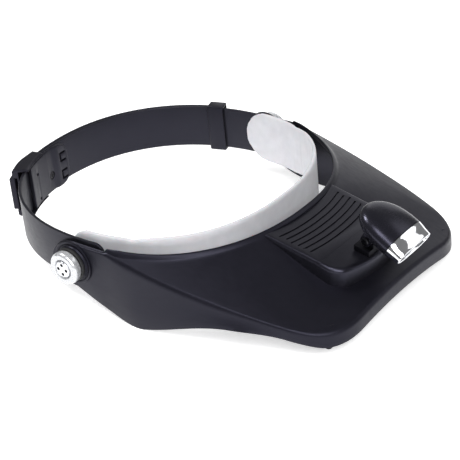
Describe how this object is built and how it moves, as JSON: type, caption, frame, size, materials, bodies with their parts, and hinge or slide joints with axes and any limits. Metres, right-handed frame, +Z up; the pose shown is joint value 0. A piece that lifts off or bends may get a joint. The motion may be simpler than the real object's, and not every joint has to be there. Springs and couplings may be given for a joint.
{
  "type": "head visor magnifier",
  "caption": "Black head visor magnifier: strap headband with grey forehead pad, tilting visor, lidded battery box, folding lens and tilting twin-LED lamp.",
  "frame": {"origin": "middle of the bounding box's underside: the floor the visor's two side feet and two front lens lugs stand on", "axes": "+Z up, -Y forward from the wearer's head through the visor to the lamp, +X to the wearer's left"},
  "size_m": [0.1788, 0.2316, 0.0499],
  "materials": {
    "black_plastic": "fine matt grain, black ABS",
    "black_strap": "satin black polypropylene",
    "black_rubber": "matt black",
    "grey_foam": "smooth pale grey skin on soft foam",
    "silver_plastic": "satin silver-white paint",
    "chrome": "bright plated plastic",
    "steel": "plain zinc-plated steel",
    "black_steel": "black oxide",
    "clear_acrylic": "clear polished acrylic",
    "led_lens": "clear epoxy with a yellow die",
    "board_green": "green solder mask",
    "battery_jacket": "grey metallic sleeve"
  },
  "bodies": {
    "headband": {"forehead_pad": "grey_foam", "strap_right": "black_strap", "strap_left": "black_strap", "adjuster_base": "black_plastic", "adjuster_cover": "black_plastic", "adjuster_spring": "steel", "strap_end_screw": "black_steel", "pivot_nut_right": "steel", "pivot_nut_left": "steel", "pivot_washer_right": "black_rubber", "pivot_washer_left": "black_rubber"},
    "visor": {"visor_shell": "black_plastic", "battery_box": "black_plastic", "battery_rear": "battery_jacket", "battery_front": "battery_jacket", "contact_spring_rear": "steel", "contact_spring_front": "steel", "contact_plate_right": "steel", "contact_plate_left": "steel", "lamp_bracket": "black_plastic", "lamp_pin": "black_steel", "lens_pin_right": "steel", "lens_pin_left": "steel"},
    "knob_right": {"pivot_knob_right": "silver_plastic", "pivot_screw_right": "steel", "pivot_collar_right": "black_rubber"},
    "knob_left": {"pivot_knob_left": "silver_plastic", "pivot_screw_left": "steel", "pivot_collar_left": "black_rubber"},
    "keeper": {"strap_keeper": "black_plastic"},
    "button": {"adjuster_button": "black_plastic"},
    "cover": {"battery_cover": "black_plastic"},
    "switch": {"lamp_switch": "black_plastic"},
    "lens": {"lens_frame": "black_plastic", "lens_plate": "clear_acrylic"},
    "lamp": {"lamp_housing": "black_plastic", "lamp_bezel": "chrome", "lamp_window": "clear_acrylic", "lamp_reflector": "chrome", "lamp_board": "board_green", "led_right": "led_lens", "led_left": "led_lens"}
  },
  "joints": [
    {"name": "visor_tilt", "type": "hinge", "parent": "headband", "child": "visor", "pos_m": [0, 0.03195, 0.02557], "axis": [-1, 0, 0], "range_deg": [-8, 65]},
    {"name": "knob_right_turn", "type": "hinge", "parent": "headband", "child": "knob_right", "pos_m": [-0.0804, 0.03195, 0.02557], "axis": [-1, 0, 0], "continuous": true},
    {"name": "knob_left_turn", "type": "hinge", "parent": "headband", "child": "knob_left", "pos_m": [0.0804, 0.03195, 0.02557], "axis": [1, 0, 0], "continuous": true},
    {"name": "keeper_slide", "type": "slide", "parent": "headband", "child": "keeper", "axis": [-0.2873, 0.9578, 0.0013], "range_m": [-0.003, 0.003]},
    {"name": "button_press", "type": "slide", "parent": "headband", "child": "button", "axis": [0.4549, -0.8905, -0.0012], "range_m": [0, 0.001], "stiffness_N_per_m": 400, "deforming": ["adjuster_spring"]},
    {"name": "cover_lift", "type": "slide", "parent": "visor", "child": "cover", "axis": [0, 0, 1], "range_m": [0, 0.03]},
    {"name": "switch_slide", "type": "slide", "parent": "visor", "child": "switch", "axis": [0, -0.9756, -0.2194], "range_m": [0, 0.0032]},
    {"name": "lamp_tilt", "type": "hinge", "parent": "visor", "child": "lamp", "pos_m": [0, -0.09096, 0.03441], "axis": [1, 0, 0], "range_deg": [-15, 25]},
    {"name": "lens_fold", "type": "hinge", "parent": "visor", "child": "lens", "pos_m": [0, -0.09592, 0.0032], "axis": [-1, 0, 0], "range_deg": [0, 98]}
  ]
}
